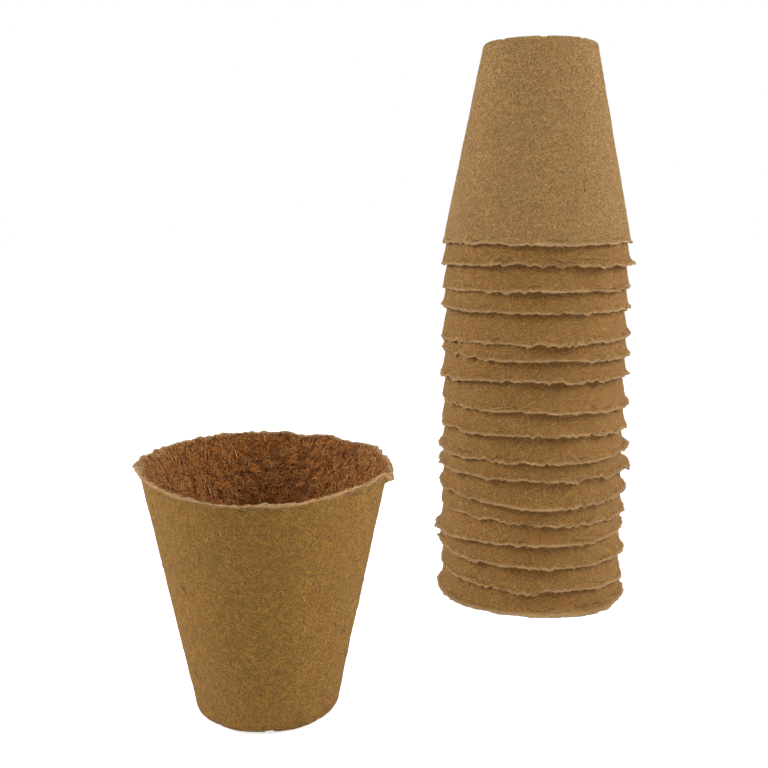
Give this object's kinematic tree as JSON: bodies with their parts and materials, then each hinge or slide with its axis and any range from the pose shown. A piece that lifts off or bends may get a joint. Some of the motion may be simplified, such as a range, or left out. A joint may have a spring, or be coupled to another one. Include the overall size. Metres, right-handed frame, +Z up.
{
  "type": "peat pot",
  "caption": "Round tapered pots of pressed peat with torn flared rims: one stands upright beside a column of the same pots, nested upside down.",
  "frame": {"origin": "on the ground, at the middle of the space that the whole set takes", "axes": "+Z up, +X to the right, and -Y to the front, where the upright pot stands ahead and to the left of the column"},
  "size_m": [0.1877, 0.2048, 0.2349],
  "materials": {
    "pressed_peat": "matte pressed peat and wood fibre, tan outside and redder brown inside"
  },
  "bodies": {
    "upright_pot": {"upright_pot": "pressed_peat"},
    "stack_pot_01": {"stack_pot_01": "pressed_peat"},
    "stack_pot_02": {"stack_pot_02": "pressed_peat"},
    "stack_pot_03": {"stack_pot_03": "pressed_peat"},
    "stack_pot_04": {"stack_pot_04": "pressed_peat"},
    "stack_pot_05": {"stack_pot_05": "pressed_peat"},
    "stack_pot_06": {"stack_pot_06": "pressed_peat"},
    "stack_pot_07": {"stack_pot_07": "pressed_peat"},
    "stack_pot_08": {"stack_pot_08": "pressed_peat"},
    "stack_pot_09": {"stack_pot_09": "pressed_peat"},
    "stack_pot_10": {"stack_pot_10": "pressed_peat"},
    "stack_pot_11": {"stack_pot_11": "pressed_peat"},
    "stack_pot_12": {"stack_pot_12": "pressed_peat"},
    "stack_pot_13": {"stack_pot_13": "pressed_peat"},
    "stack_pot_14": {"stack_pot_14": "pressed_peat"},
    "stack_pot_15": {"stack_pot_15": "pressed_peat"},
    "stack_pot_16": {"stack_pot_16": "pressed_peat"},
    "stack_pot_17": {"stack_pot_17": "pressed_peat"}
  },
  "joints": [
    {"name": "upright_pot_lift", "type": "slide", "parent": "stack_pot_01", "child": "upright_pot", "axis": [0, 0, 1], "range_m": [0, 0.08]},
    {"name": "stack_pot_02_lift", "type": "slide", "parent": "stack_pot_01", "child": "stack_pot_02", "axis": [0, 0, 1], "range_m": [0, 0.08]},
    {"name": "stack_pot_03_lift", "type": "slide", "parent": "stack_pot_02", "child": "stack_pot_03", "axis": [0, 0, 1], "range_m": [0, 0.08]},
    {"name": "stack_pot_04_lift", "type": "slide", "parent": "stack_pot_03", "child": "stack_pot_04", "axis": [0, 0, 1], "range_m": [0, 0.08]},
    {"name": "stack_pot_05_lift", "type": "slide", "parent": "stack_pot_04", "child": "stack_pot_05", "axis": [0, 0, 1], "range_m": [0, 0.08]},
    {"name": "stack_pot_06_lift", "type": "slide", "parent": "stack_pot_05", "child": "stack_pot_06", "axis": [0, 0, 1], "range_m": [0, 0.08]},
    {"name": "stack_pot_07_lift", "type": "slide", "parent": "stack_pot_06", "child": "stack_pot_07", "axis": [0, 0, 1], "range_m": [0, 0.08]},
    {"name": "stack_pot_08_lift", "type": "slide", "parent": "stack_pot_07", "child": "stack_pot_08", "axis": [0, 0, 1], "range_m": [0, 0.08]},
    {"name": "stack_pot_09_lift", "type": "slide", "parent": "stack_pot_08", "child": "stack_pot_09", "axis": [0, 0, 1], "range_m": [0, 0.08]},
    {"name": "stack_pot_10_lift", "type": "slide", "parent": "stack_pot_09", "child": "stack_pot_10", "axis": [0, 0, 1], "range_m": [0, 0.08]},
    {"name": "stack_pot_11_lift", "type": "slide", "parent": "stack_pot_10", "child": "stack_pot_11", "axis": [0, 0, 1], "range_m": [0, 0.08]},
    {"name": "stack_pot_12_lift", "type": "slide", "parent": "stack_pot_11", "child": "stack_pot_12", "axis": [0, 0, 1], "range_m": [0, 0.08]},
    {"name": "stack_pot_13_lift", "type": "slide", "parent": "stack_pot_12", "child": "stack_pot_13", "axis": [0, 0, 1], "range_m": [0, 0.08]},
    {"name": "stack_pot_14_lift", "type": "slide", "parent": "stack_pot_13", "child": "stack_pot_14", "axis": [0, 0, 1], "range_m": [0, 0.08]},
    {"name": "stack_pot_15_lift", "type": "slide", "parent": "stack_pot_14", "child": "stack_pot_15", "axis": [0, 0, 1], "range_m": [0, 0.08]},
    {"name": "stack_pot_16_lift", "type": "slide", "parent": "stack_pot_15", "child": "stack_pot_16", "axis": [0, 0, 1], "range_m": [0, 0.08]},
    {"name": "stack_pot_17_lift", "type": "slide", "parent": "stack_pot_16", "child": "stack_pot_17", "axis": [0, 0, 1], "range_m": [0, 0.08]}
  ]
}
